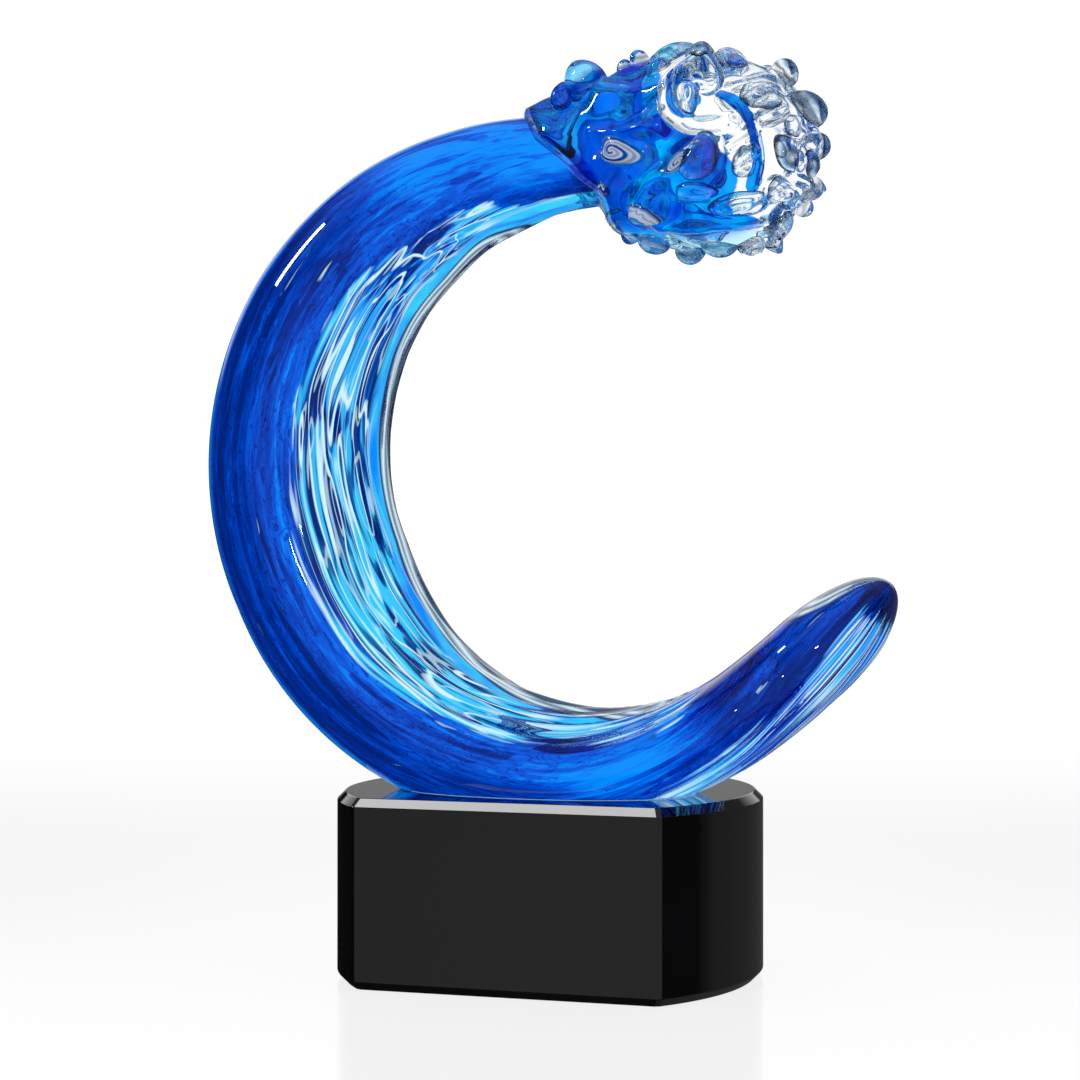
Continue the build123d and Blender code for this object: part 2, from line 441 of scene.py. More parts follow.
# An oval section carried along the spine, with ridges pressed on its streaked sides and its foot ground flat
def makeWave(material):
    looks = waveColours
    around = 2 * pi * np.arange(waveShape["around"]) / waveShape["around"]
    capSwing = np.linspace(0, pi / 2, waveShape["capRings"], endpoint=False)[1:]
    domeSwing = np.linspace(0, pi / 2, waveShape["domeRings"], endpoint=False)[1:]
    domeStart = waveLength - waveShape["tailDome"]
    along = np.concatenate([
        -waveShape["armCap"] * np.cos(capSwing),
        np.linspace(0, domeStart, waveShape["mainRings"]),
        domeStart + waveShape["tailDome"] * np.sin(domeSwing),
    ])
    halfThick, halfDepth = waveHalves(along)
    spine, insideX, insideZ = waveSpine(along)
    inside = np.stack([insideX, np.zeros_like(insideX), insideZ], -1)[:, None, :]
    front = np.array([0.0, -1.0, 0.0])
    c, s = np.cos(around)[None, :], np.sin(around)[None, :]
    across, deep = halfThick[:, None] * c, halfDepth[:, None] * s
    share = (along / waveLength)[:, None]

    # Streaks are laid out as if the wave's ends weren't drawn in, and wind forward towards the tail's tip
    openThick, openDepth = waveHalves(np.clip(along, 0, domeStart))
    wound = around[None, :] + radians(looks["tailTwist"]) * smoothStep(*looks["twistReach"], share)
    openAcross, openDeep = openThick[:, None] * np.cos(wound), openDepth[:, None] * np.sin(wound)
    unbent = np.stack([np.broadcast_to(along[:, None], across.shape), openAcross, openDeep], -1)

    # Lie as above, and near, from -1 at the back to 1 at the front
    sight = radians(looks["sight"])
    pull, push = halfThick * cos(sight), -halfDepth * sin(sight) * insideX
    reach = np.hypot(pull, push)[:, None] + 1e-9
    lie = (pull[:, None] * c + push[:, None] * s) / reach
    near = (pull[:, None] * s - push[:, None] * c) / reach
    soft, hoodSoft, fade = looks["bandSoft"], looks["hoodSoft"], looks["rimFade"]
    innerBand = smoothStep(-soft, soft, lie - np.interp(share, *looks["bandStart"]))
    tailBand = smoothStep(-soft, soft, np.interp(share, *looks["tailStart"]) - lie)
    band = np.maximum(innerBand, tailBand) * (1 - smoothStep(*looks["plainTip"], share))
    rimEnds = 1 - smoothStep(*looks["rimStart"], share) + smoothStep(*looks["rimEnd"], share)
    tailRim = 1 - (1 - lie) / looks["tailRimWidth"] - fade * (1 - smoothStep(*looks["tailRim"], share))
    values = {
        "band": band,
        "strip": smoothStep(*looks["strip"], lie) * (1 - smoothStep(*looks["stripEnd"], share)),
        "rim": np.maximum(lie - fade * rimEnds, tailRim),
        "tone": waveTone(share, lie),
        "white": np.interp(share, *looks["white"]) + 0 * lie,
        "pale": smoothStep(*looks["paleNear"], near) * (1 - smoothStep(*looks["paleLie"], np.abs(lie))),
        "hooded": smoothStep(hoodSoft, -hoodSoft, share - np.interp(lie, *looks["hooded"])),
        "blueGaps": np.interp(share, *looks["blueGaps"]) + 0 * lie,
    }

    # Swelling and hollow along the spine's sides, and the ridges along the oval's outward direction
    closing = np.minimum(halfThick / waveShape["thinHalf"], 1)
    ripple = band * waveSum(unbent, waveRipples) * closing[:, None]
    angle = waveShape["armAngle"] + np.degrees(along / waveShape["radius"])
    swell = np.interp(angle, waveShape["unevenAngles"], waveShape["outerSwell"]) * mm * closing
    hollow = np.interp(angle, waveShape["unevenAngles"], waveShape["innerHollow"]) * mm * closing
    across = across - np.where(c < 0, swell[:, None], hollow[:, None]) * c**2
    outC, outS = c / np.maximum(halfThick, mm)[:, None], s / np.maximum(halfDepth, mm)[:, None]
    length = np.hypot(outC, outS)
    across = across + ripple * outC / length
    deep = deep + ripple * outS / length
    rings = spine[:, None, :] + across[..., None] * inside + deep[..., None] * front
    rings[..., 2] = np.maximum(rings[..., 2], footZ)
    ends = waveSpine(np.array([-waveShape["armCap"], waveLength]))[0]
    tips = np.array([(-waveShape["armCap"], 0, 0), (waveLength, 0, 0)])
    shares = {"unbent": np.concatenate([unbent.reshape(-1, 3), tips])}
    for name, value in values.items():
        shares[name] = np.concatenate([value.reshape(-1), np.zeros(len(tips))])
    return newPiece("wave_glass", skinOf(rings, *ends), material, ["wave_body"], shares)


# Tints of the wave's casing; light also crosses the paler back, so the front is darker than what is seen
waveTints = dict(
    back=(0.50, 0.82, 1.0),
    ink=(0.0, 0.0003, 0.03),
    deep=(0.0, 0.0007, 0.085),
    flank=(0.0, 0.003, 0.23),
    light=(0.0, 0.013, 0.52),
    azure=(0.0, 0.08, 0.90),
    darkTeal=(0.0, 0.0045, 0.04),
    teal=(0.0001, 0.028, 0.13),
    aqua=(0.003, 0.45, 0.95),
    paleAqua=(0.25, 0.80, 1.0),
    thread=(0.70, 0.90, 1.0),
    # painted shade: grey and near black lines along the bare inner edge
    edgeGreyShade=(0.24, 0.28, 0.33),
    edgeShade=(0.004, 0.010, 0.030),
)


# Stretches of the streaks' noises, in turns per metre along, across and in depth, and how they are used
waveStreaks = dict(
    sway=(20, 60, 60),
    swayReach=(0, 6 * mm, 6 * mm),
    brush=(13, 420, 420),
    grain=(95, 850, 850),
    cloud=(26, 95, 95),
    drawn=(18, 420, 420),
    threads=(3, 150, 150),
    threadCount=9.0,
    threadWidth=(0.02, 0.12),
    fine=(5, 300, 300),
    fineCount=7.0,
    fineStrength=0.30,
    flakes=(22, 700, 700),
    flakeShare=0.14,
    flakeShift=-0.2,
    crinkles=(55, 240, 240),
    crinkleCount=7.0,
    crinkleShift=-0.24,
    brushShift=0.8,
    grainShift=0.55,
    bandFray=1.8,
)


def waveGlass():
    material, tree, shader = newMaterial("waveGlass")
    skin, look = waveTints, waveStreaks
    unbent = addAttribute(tree, "unbent", "Vector")
    sway = addNoise(tree, unbent, look["sway"], 0.8, output="Color")
    inputs = {0: sway, 1: look["swayReach"], 2: unbent}
    swayed = addNode(tree, "ShaderNodeVectorMath", inputs, operation="MULTIPLY_ADD").outputs["Vector"]
    brush = addNoise(tree, unbent, look["brush"], 4.0, 0.6)
    grain = addNoise(tree, swayed, look["grain"], 3.0, 1.6)
    cloud = addNoise(tree, unbent, look["cloud"], 3.0, 1.6)
    drawn = addNoise(tree, swayed, look["drawn"], 2.5, 0.5)

    # Bright threads along the level lines of a drawn-out noise, over gaps from ink to white
    thin, thick = look["threadWidth"]
    width = addRange(tree, cloud, 0.3, 0.7, thick, thin)
    levels = addLevels(tree, addNoise(tree, swayed, look["threads"], 1.5), look["threadCount"])
    lines = addMath(tree, "SUBTRACT", 1.4, addMath(tree, "DIVIDE", levels, width))
    lines = addNode(tree, "ShaderNodeClamp", {"Value": lines}).outputs["Result"]
    gapTone = addMath(tree, "ADD", drawn, addAttribute(tree, "white"))
    tealGaps = addRamp(tree, gapTone, [
        (0.37, skin["ink"]),
        (0.42, skin["darkTeal"]),
        (0.465, skin["teal"]),
        (0.51, skin["aqua"]),
        (0.60, skin["aqua"]),
        (0.67, skin["paleAqua"]),
        (0.76, skin["thread"]),
    ])
    blueGaps = addRamp(tree, gapTone, [
        (0.38, skin["ink"]),
        (0.45, skin["flank"]),
        (0.51, skin["light"]),
        (0.57, skin["azure"]),
        (0.63, skin["aqua"]),
        (0.74, skin["thread"]),
    ])
    gaps = addMix(tree, addAttribute(tree, "blueGaps"), tealGaps, blueGaps)
    streaked = addMix(tree, lines, gaps, skin["thread"])
    fine = addLevels(tree, addNoise(tree, swayed, look["fine"], 1.0), look["fineCount"])
    streaked = addMix(tree, addRange(tree, fine, 0.09, 0.04, look["fineStrength"]), streaked, skin["thread"])

    # The blue body: cloudy, brushed and grained, with dark flakes, and dark crinkles where it isn't light
    tone = addAttribute(tree, "tone")
    flakes = addMath(tree, "LESS_THAN", addFlakes(tree, swayed, look["flakes"]), look["flakeShare"])
    crinkles = addLevels(tree, addNoise(tree, swayed, look["crinkles"], 2.0, 2.2), look["crinkleCount"])
    crinkles = addRange(tree, crinkles, 0.10, 0.03, look["crinkleShift"])
    bodyTone = addMath(tree, "MULTIPLY_ADD", cloud, 0.5, -0.28)
    for part in (
        addSpread(tree, brush, look["brushShift"]),
        addSpread(tree, grain, look["grainShift"]),
        addMath(tree, "MULTIPLY", flakes, look["flakeShift"]),
        addMath(tree, "MULTIPLY", crinkles, addRange(tree, tone, 0.85, 0.65)),
        tone,
    ):
        bodyTone = addMath(tree, "ADD", bodyTone, part)
    bodyColour = addRamp(tree, bodyTone, [
        (0.18, skin["ink"]),
        (0.34, skin["deep"]),
        (0.50, skin["flank"]),
        (0.68, skin["light"]),
        (0.90, skin["azure"]),
    ])
    bandEdge = addMath(tree, "ADD", addAttribute(tree, "band"), addSpread(tree, drawn, look["bandFray"]))
    cased = addMix(tree, addRange(tree, bandEdge, 0.40, 0.60), bodyColour, streaked)
    stripColour = addRamp(tree, cloud, [(0.35, skin["azure"]), (0.65, skin["aqua"])])
    cased = addMix(tree, addAttribute(tree, "strip"), cased, stripColour)
    cased = addMix(tree, addAttribute(tree, "pale"), cased, skin["back"])

    # Bare glass along the inner edge, striped with painted shade in dark and grey lines, and under the hood
    edge = addMath(tree, "MULTIPLY_ADD", brush, 0.006, addAttribute(tree, "rim"))
    edge = addRange(tree, edge, 0.90, 1.0)
    grey, shade = skin["edgeGreyShade"], skin["edgeShade"]
    rimShadeLines = addRamp(tree, edge, [
        (0.16, skin["flank"]), (0.26, skin["ink"]), (0.34, shade), (0.42, grey), (0.50, bareGlass),
        (0.57, grey), (0.65, shade), (0.73, grey), (0.80, bareGlass), (0.86, grey), (0.93, shade),
    ])
    cased = addMix(tree, addRange(tree, edge, 0.14, 0.24), cased, rimShadeLines)
    feed(tree, shader.inputs["Base Color"], addMix(tree, addAttribute(tree, "hooded"), cased, bareGlass))
    finishGlass(tree, shader, unbent, (40, 160, 160), 0.03)
    return material


makeWave(waveGlass())


# Crest

crestShape = dict(
    ahead=10.7 * mm,  # from the arm's end to the crest's middle
    above=2.4 * mm,
    tilt=-4.0,
    half=21.5 * mm,
    straight=7.0 * mm,
    mouthReach=43.0 * mm,
    mouthHalf=6.5 * mm,
    mouthSlope=46.0,
    mouthOffset=31.5 * mm,
    # mm by which the lip strays from its plane at these turns
    lipTurns=(0, 60, 84, 100, 118, 126, 140, 153, 166, 180, 200, 230),
    lipShifts=(-1.5, -2.0, -2.6, 0.0, 1.0, 3.6, 0.0, -4.0, -6.0, -5.0, -3.0, 0.0),
    lipRound=1.5 * mm,
    lipRoll=2.4 * mm,
    lipRollWidth=10.0 * mm,
    lipFade=7.0 * mm,  # the relief dies away over this distance from the lip
    lipReach=10.0 * mm,  # the lip's own colours reach this far
    moundHeight=0.22,  # the skin's swelling under a drop, and its spread, as shares of the drop's radius
    moundSpread=1.25,
    coilEnds=3.0,  # a coil rises from its ends over this many half widths
    coilSection=0.7,
    rings=280,
    lipRings=12,
    paleLipRings=6,
    around=330,
)
armEnd = waveSpine(np.zeros(1))[0][0]
crestCentre = armEnd + np.array([crestShape["ahead"], 0, crestShape["above"]])
tilt = radians(crestShape["tilt"])
crestAxes = np.array([[cos(tilt), 0, sin(tilt)], [-sin(tilt), 0, cos(tilt)], [0, -1, 0]])  # along, up, front

# Lumps left by the tools: turns per metre (along, up, front), height, phase
crestLumps = [
    ((42, 30, 52), 0.50 * mm, 0.4),
    ((-55, 48, 20), 0.45 * mm, 2.1),
    ((30, -62, 45), 0.40 * mm, 4.4),
    ((70, 25, -66), 0.25 * mm, 1.0),
]

# Folds pulled in the hot glass: points as length along the outline in mm and turn, then width and height
crestFolds = [
    ([(8, 8), (50, 8)], 9.0, 1.5),
    ([(56, 60), (61, 68), (64, 78), (65.6, 99), (64, 117)], 1.5, 0.9),
    ([(22, 39), (29, 51), (41.6, 56)], 3.0, 1.3),
    ([(30.5, 78), (35, 69), (41.8, 63)], 1.2, -0.8),
    ([(24, 84), (31, 84), (40, 84)], 1.8, 1.3),
    ([(27, 94), (34.4, 89), (40.3, 92), (43.3, 104)], 2.0, -1.3),
    ([(31.8, 111), (35, 120)], 2.2, -1.3),
    ([(45, 108), (38.3, 124), (36.8, 138)], 2.2, 1.3),
    ([(31.8, 110), (28.8, 124)], 0.8, 0.9),
    ([(41.4, 153), (52.2, 144), (60.6, 152), (69.3, 165)], 1.6, 1.2),
    ([(57, 48), (61.3, 36), (65.8, 21)], 0.9, 1.0),
    ([(59.3, 56), (63.7, 42), (68, 29)], 0.9, 1.1),
    ([(61.5, 63), (65.2, 48), (69.5, 38)], 0.9, 1.1),
    ([(63.9, 70), (67.1, 57), (70.4, 48)], 0.9, 1.1),
    ([(66.5, 72), (70, 63), (71.5, 53)], 0.9, 1.0),
    ([(59.8, 94), (64.5, 84)], 0.8, 0.8),
    ([(60.9, 101), (64.3, 94)], 0.8, 0.9),
    ([(60.6, 108), (63.9, 102), (64.8, 94)], 0.8, 0.9),
    ([(73.6, 80), (77.1, 76), (82.7, 10)], 1.2, 1.2),
    ([(73.6, 117), (79.5, 147), (79.3, 212)], 1.2, 1.2),
    ([(71, 150), (68.2, 164), (64.8, 194)], 1.1, 1.1),
    ([(12, -50), (30, -75), (44, -66)], 3.2, 1.0),
    ([(34, -100), (48, -85)], 1.8, -1.0),
    ([(44, -120), (62, -100), (70, -70)], 1.8, 1.0),
    ([(36, -165), (58, -150)], 1.7, 0.9),
]

# Clear threads of glass laid on in a curl, as round cords: points, half width and height in mm
crestCoils = [
    ([(59, 77), (52.4, 82), (48, 80), (44.6, 73), (43.6, 62), (44.2, 50), (46.2, 40), (49.4, 35), (52.4, 40),
      (53.6, 48), (52.8, 55), (50.6, 54)], 2.2, 1.9),
    ([(67, 124), (69.5, 118), (72.2, 126), (72, 138), (69.5, 138)], 1.4, 1.5),
    ([(46, -60), (50, -48), (55, -52), (55.5, -64), (52, -68)], 1.9, 2.2),
]

# Where the blue gather ends, as length along the outline in mm against the turn, and the tongue beyond it
crestBlue = dict(
    turns=(-180, -160, -120, -60, -30, 0, 15, 34, 51, 68, 76, 81, 87, 95, 110, 119, 126, 140, 155, 170, 180),
    places=(53, 49, 40, 39, 38, 36, 38, 39, 42, 42, 43, 48, 56, 59, 60, 63, 57, 60, 67, 65, 53),
    blurTurns=(-9, -4, 0, 4, 9),
    soft=2.2 * mm,
    lineSoft=0.5 * mm,
    tongue=[(55, 57), (61, 68), (64, 78), (65.6, 99), (64, 119)],
    tongueHalf=1.3 * mm,
    overArm=(-16 * mm, -2 * mm),  # along the axis, where the arm's blue still lies inside
    alone=(40 * mm, 48 * mm),  # along the outline, where the far side is already clear
    # how steep the relief is where painted shade starts and where it is full
    steepShade=(0.45, 1.15),
    under=(152, 168),  # turns between which the underside pales
)

# Drops with a CAD node: length along the outline in mm, turn, radius in mm, tint,
# height as a share of the radius, stretch along the crest, lean, curls and their depth
nodeDrops = [
    (20.0, 24, 5.4, "blue", 1.05, 1.0, 0, 0, 0.0),
    (41.0, 13, 5.2, "lagoon", 0.50, 1.15, 0, 0, 0.0),
    (48.6, 63, 3.4, "clear", 0.60, 0.8, 10, 1, 0.2),
    (32.4, 98, 4.3, "swirl", 0.40, 1.5, -8, 1, 0.16),
    (52.8, 100, 4.8, "teal", 0.55, 1.15, 50, 0, 0.0),
    (60.2, 130, 4.4, "lined", 0.55, 1.45, 14, 1, 0.18),
    (39.0, 139, 3.6, "pearl", 0.45, 1.2, -12, 0, 0.0),
    (54.0, 172, 3.6, "lagoon", 0.75, 1.15, 0, 0, 0.0),
    (69.0, 170, 3.6, "clear", 0.70, 1.0, 0, 0, 0.0),
    (64.5, 54, 4.4, "clear", 0.32, 1.3, 30, 5, 0.2),
    (75.6, 4, 5.0, "smoke", 0.75, 0.9, 0, 0, 0.0),
    (33.0, -70, 4.4, "blue", 0.70, 1.2, 20, 1, 0.1),
    (52.0, -58, 4.4, "clear", 0.60, 1.0, 0, 1, 0.15),
    (57.0, -112, 4.2, "lined", 0.65, 1.2, 30, 1, 0.15),
]

# Smaller drops among them, in the same order of values
smallDrops = [
    (14.8, 38, 3.0, "blue", 1.0, 1.0, 0, 0, 0.0),
    (48.0, 103, 2.6, "swirl", 0.45, 1.6, 40, 1, 0.1),
    (33.0, 10, 2.4, "clear", 1.2, 1.0, 0, 0, 0.0),
    (29.0, 12, 1.8, "clear", 0.9, 1.1, 0, 0, 0.0),
    (39.5, 35, 3.0, "clear", 0.8, 1.1, 0, 0, 0.0),
    (48.4, 27, 3.6, "smoke", 0.6, 1.0, 0, 0, 0.0),
    (55.4, 24, 3.4, "clear", 0.65, 1.1, 0, 0, 0.0),
    (66.0, 2, 3.0, "smoke", 1.2, 1.0, 0, 0, 0.0),
    (80.5, -62, 2.9, "smoke", 1.0, 1.0, 0, 0, 0.0),
    (83.6, 141, 3.2, "smoke", 0.6, 1.0, 0, 0, 0.0),
    (73.0, 96, 3.6, "smoke", 0.6, 0.8, 20, 0, 0.0),
    (74.5, 62, 2.8, "clear", 0.6, 1.2, 60, 0, 0.0),
    (77.6, 106, 2.4, "clear", 0.8, 1.0, 0, 0, 0.0),
    (78.0, -138, 2.9, "clear", 1.15, 1.0, 0, 0, 0.0),
    (74.2, -155, 2.5, "clear", 1.2, 1.0, 0, 0, 0.0),
    (78.0, 172, 2.5, "clear", 1.0, 1.0, 0, 0, 0.0),
    (73.4, 150, 2.6, "lined", 0.7, 1.0, 0, 1, 0.1),
    (61.0, 178, 3.2, "clear", 0.9, 1.1, 0, 1, 0.1),
    (46.5, -176, 3.3, "lagoon", 0.95, 1.1, 0, 0, 0.0),
    (38.8, 171, 3.2, "lagoon", 0.9, 1.2, 0, 0, 0.0),
    (64.5, -166, 2.6, "clear", 1.0, 1.0, 0, 0, 0.0),
    (51.6, 121, 3.6, "teal", 0.6, 1.5, 8, 0, 0.0),
    (70.4, 129, 3.2, "clear", 0.8, 1.0, 0, 1, 0.12),
    (33.6, 168, 2.1, "teal", 0.9, 1.2, 0, 0, 0.0),
    (28.8, 126, 1.6, "clear", 0.9, 0.9, 0, 0, 0.0),
    (62.4, 103, 3.0, "clear", 0.55, 0.8, 0, 1, 0.15),
    (44.0, -96, 3.4, "teal", 0.8, 1.0, 0, 0, 0.0),
    (66.0, -84, 3.6, "clear", 0.8, 1.0, 0, 0, 0.0),
    (72.0, -36, 3.2, "clear", 0.9, 1.0, 0, 0, 0.0),
    (42.0, -35, 3.0, "teal", 0.9, 1.0, 0, 0, 0.0),
    (64.0, -136, 3.2, "smoke", 0.9, 1.0, 0, 0, 0.0),
    (50.0, -146, 3.0, "teal", 0.9, 1.0, 0, 0, 0.0),
    (37.0, -128, 3.2, "blue", 0.8, 1.2, 0, 0, 0.0),
    (60.0, -20, 3.0, "clear", 0.9, 1.0, 0, 0, 0.0),
    (28.0, -36, 2.8, "blue", 0.9, 1.0, 0, 0, 0.0),
]

# Outline of the crest: a straight flare, a round shoulder, a straight stretch and a domed nose
flareLean = asin(crestShape["half"] / hypot(crestShape["mouthReach"], crestShape["mouthHalf"])) - atan2(
    crestShape["mouthHalf"], crestShape["mouthReach"]
)
flareLength = sqrt(crestShape["mouthReach"] ** 2 + crestShape["mouthHalf"] ** 2 - crestShape["half"] ** 2)
outlineEnds = np.cumsum([
    flareLength,
    crestShape["half"] * flareLean,
    crestShape["straight"],
    crestShape["half"] * pi / 2,
])


# Distance along the axis and out from it, and the outward slant, at a length along the outline
def crestOutline(place):
    half = crestShape["half"]
    flareSlant = pi / 2 + flareLean
    shoulderSlant = flareSlant - np.clip(place - outlineEnds[0], 0, half * flareLean) / half
    slant = shoulderSlant - np.clip(place - outlineEnds[2], 0, half * pi / 2) / half
    flare = np.minimum(place - outlineEnds[0], 0)
    straight = np.clip(place - outlineEnds[1], 0, crestShape["straight"])
    x = half * np.cos(slant) + straight + flare * cos(flareLean)
    y = half * np.sin(slant) + flare * sin(flareLean)
    return x, y, slant


# Point and outward direction on the crest's plain shape, in its own axes; turn 0 is up, 90 degrees the front
def crestSpot(place, turn):
    x, y, slant = crestOutline(place)
    spot = np.stack([x, y * np.cos(turn), y * np.sin(turn)], -1)
    lean = np.sin(slant)
    outward = np.stack([np.cos(slant) + 0 * turn, lean * np.cos(turn), lean * np.sin(turn)], -1)
    return spot, outward


# Length along the outline at which the slanted mouth cuts it, with the lip's own wandering
def mouthPlace(turn):
    slope = radians(crestShape["mouthSlope"] + crestShape["tilt"])
    lean = np.cos(turn) * cos(slope)
    grow = sin(flareLean) / cos(flareLean)
    start = crestShape["mouthHalf"] + crestShape["mouthReach"] * grow
    x = -(crestShape["mouthOffset"] * sin(slope) + start * lean) / (sin(slope) + grow * lean)
    shift = np.interp(np.degrees(turn), crestShape["lipTurns"], crestShape["lipShifts"], period=360)
    return (x + crestShape["mouthReach"]) / cos(flareLean) + shift * mm


def toFrame(local):
    return crestCentre + local @ crestAxes


# Nearest length along the outline and turn to a point in the crest's own axes
def crestPlace(local):
    half, straight = crestShape["half"], crestShape["straight"]
    x, out = local[..., 0], np.hypot(local[..., 1], local[..., 2])
    nose = outlineEnds[2] + half * np.arctan2(x - straight, out)
    lean = np.arctan2(-x, out)
    flare = (half * sin(flareLean) + x) * cos(flareLean) + (out - half * cos(flareLean)) * sin(flareLean)
    tail = np.where(lean < flareLean, outlineEnds[1] - half * lean, outlineEnds[0] + flare)
    place = np.where(x > straight, nose, np.where(x > 0, outlineEnds[1] + x, tail))
    return np.minimum(place, outlineEnds[3]), np.arctan2(local[..., 2], local[..., 1])


# A bent line with its corners cut off again and again, each time a quarter in from both ends of every run
def roundLine(line, rounds):
    for cut in range(rounds):
        runs = np.stack([0.75 * line[:-1] + 0.25 * line[1:], 0.25 * line[:-1] + 0.75 * line[1:]], 1)
        line = np.vstack([line[:1], runs.reshape(-1, 2), line[-1:]])
    return line


# Distance from each point to a rounded line, given by lengths along the outline in mm and turns
def lineDistance(points, placesAndTurns, rounds=1):
    places, turns = roundLine(np.array(placesAndTurns, float), rounds).T
    line = crestSpot(places * mm, np.radians(turns))[0]
    nearest = np.inf
    for start, end in zip(line[:-1], line[1:]):
        way = end - start
        share = np.clip((points - start) @ way / (way @ way), 0, 1)
        nearest = np.minimum(nearest, np.linalg.norm(points - start - share[..., None] * way, axis=-1))
    return nearest


# How far the worked surface stands off the plain one: lumps, folds and the swelling under each drop, the last
# two bell curves of the distance, and coils of half round section, all dying away at the rolled-out lip
def crestRelief(spot, lipDistance):
    relief = waveSum(spot, crestLumps)
    for points, width, height in crestFolds:
        relief = relief + height * mm * np.exp(-((lineDistance(spot, points) / (width * mm)) ** 2))
    for place, turn, radius, *finish in nodeDrops + smallDrops:
        middle = crestSpot(np.array(place * mm), np.array(radians(turn)))[0]
        spread = crestShape["moundSpread"] * radius * mm
        distance = np.linalg.norm(spot - middle, axis=-1)
        relief = relief + crestShape["moundHeight"] * radius * mm * np.exp(-((distance / spread) ** 2))
    for points, half, height in crestCoils:
        share = np.clip(1 - (lineDistance(spot, points, 2) / (half * mm)) ** 2, 0, 1)
        endPlaces, endTurns = np.array([points[0], points[-1]], float).T
        for end in crestSpot(endPlaces * mm, np.radians(endTurns))[0]:
            fromEnd = np.linalg.norm(spot - end, axis=-1)
            share = share * smoothStep(0, crestShape["coilEnds"] * half * mm, fromEnd)
        relief = relief + height * mm * share ** crestShape["coilSection"]
    roll = crestShape["lipRoll"] * np.exp(-((lipDistance / crestShape["lipRollWidth"]) ** 2))
    return relief * smoothStep(0, crestShape["lipFade"], lipDistance) + roll


# Point and outward direction on the worked surface
def crestSkin(place, turn):
    spot, outward = crestSpot(place, turn)
    return spot + outward * crestRelief(spot, place - mouthPlace(turn))[..., None], outward


# Shares that the crest's material reads: its blue part, the arm inside, the clear far side, the underside,
# the lip and the steepness, by which shade is painted
def crestShares(place, turns, spot, relief, lipDistance):
    degrees = np.degrees(turns)
    border, blur = (crestBlue["turns"], crestBlue["places"]), crestBlue["blurTurns"]
    edge = sum(np.interp(degrees + shift, *border, period=360) for shift in blur) / len(blur) * mm
    soft, lineSoft, half = crestBlue["soft"], crestBlue["lineSoft"], crestBlue["tongueHalf"]
    blue = smoothStep(-soft, soft, edge - place)
    tongue = lineDistance(spot, crestBlue["tongue"], 2)
    blue = np.maximum(blue, smoothStep(half + lineSoft, half - lineSoft, tongue))
    for points, coilHalf, height in crestCoils:
        coilEdge = coilHalf * mm
        blue = blue * smoothStep(coilEdge - lineSoft, coilEdge + lineSoft, lineDistance(spot, points, 2))
    alongSteep = np.gradient(relief, axis=0) / np.gradient(place, axis=0)
    fromTop = np.abs(np.degrees(np.arctan2(np.sin(turns), np.cos(turns))))
    step = np.linalg.norm(np.roll(spot, -1, axis=1) - np.roll(spot, 1, axis=1), axis=-1)
    aroundSteep = (np.roll(relief, -1, axis=1) - np.roll(relief, 1, axis=1)) / np.maximum(step, 0.1 * mm)
    return {
        "blue": blue,
        "overArm": 1 - smoothStep(*crestBlue["overArm"], spot[..., 0]),
        "under": smoothStep(*crestBlue["under"], fromTop),
        "alone": smoothStep(*crestBlue["alone"], place) * (np.sin(turns) > 0),
        "lipNear": np.clip(lipDistance / crestShape["lipReach"], 0, 1),
        "steepShade": smoothStep(*crestBlue["steepShade"], np.hypot(alongSteep, aroundSteep)),
    }


# The plain outline turned about the axis and moved out by its relief, with a rounded lip and a closed mouth
def makeCrest(material, lipMaterial):
    turn = 2 * pi * np.arange(crestShape["around"]) / crestShape["around"]
    lip = mouthPlace(turn)[None, :]
    rise = np.linspace(0, 1, crestShape["rings"], endpoint=False)[:, None]
    place = lip + crestShape["lipRound"] + (outlineEnds[3] - lip - crestShape["lipRound"]) * rise
    turns = np.broadcast_to(turn[None, :], place.shape)
    spot, outward = crestSpot(place, turns)
    relief = crestRelief(spot, place - lip)
    skinRings = spot + outward * relief[..., None]
    swing = np.linspace(pi / 2, 0, crestShape["lipRings"], endpoint=False)[:, None, None]
    slope = radians(crestShape["mouthSlope"] + crestShape["tilt"])
    mouthOut = -np.array([sin(slope), cos(slope), 0])
    centre = skinRings[0] - outward[0] * crestShape["lipRound"]
    lipRings = centre + crestShape["lipRound"] * (np.cos(swing) * outward[0] + np.sin(swing) * mouthOut)
    rings = np.concatenate([lipRings, skinRings])
    mouthCentre = lipRings[0].mean(axis=0)
    noseTip = crestSkin(np.array(outlineEnds[3]), np.array(0.0))[0]
    points, quads, fans = skinOf(rings, mouthCentre, noseTip)
    shares = {}
    for name, value in crestShares(place, turns, spot, relief, place - lip - crestShape["lipRound"]).items():
        lipValues = np.broadcast_to(value[0], lipRings.shape[:2])
        ends = [value[0].mean(), value[-1].mean()]
        shares[name] = np.concatenate([lipValues.reshape(-1), value.reshape(-1), ends])
    nodes = ["crest_hood", "crest_nose"]
    piece = newPiece("crest_glass", (toFrame(points), quads, fans), material, nodes, shares)
    piece.data.materials.append(lipMaterial)
    slots = np.zeros(len(quads) + len(fans), np.int32)
    # the rings at the lip take the pale glass of the painted highlight
    slots[: crestShape["paleLipRings"] * crestShape["around"]] = 1
    piece.data.polygons.foreach_set("material_index", slots)
    return piece


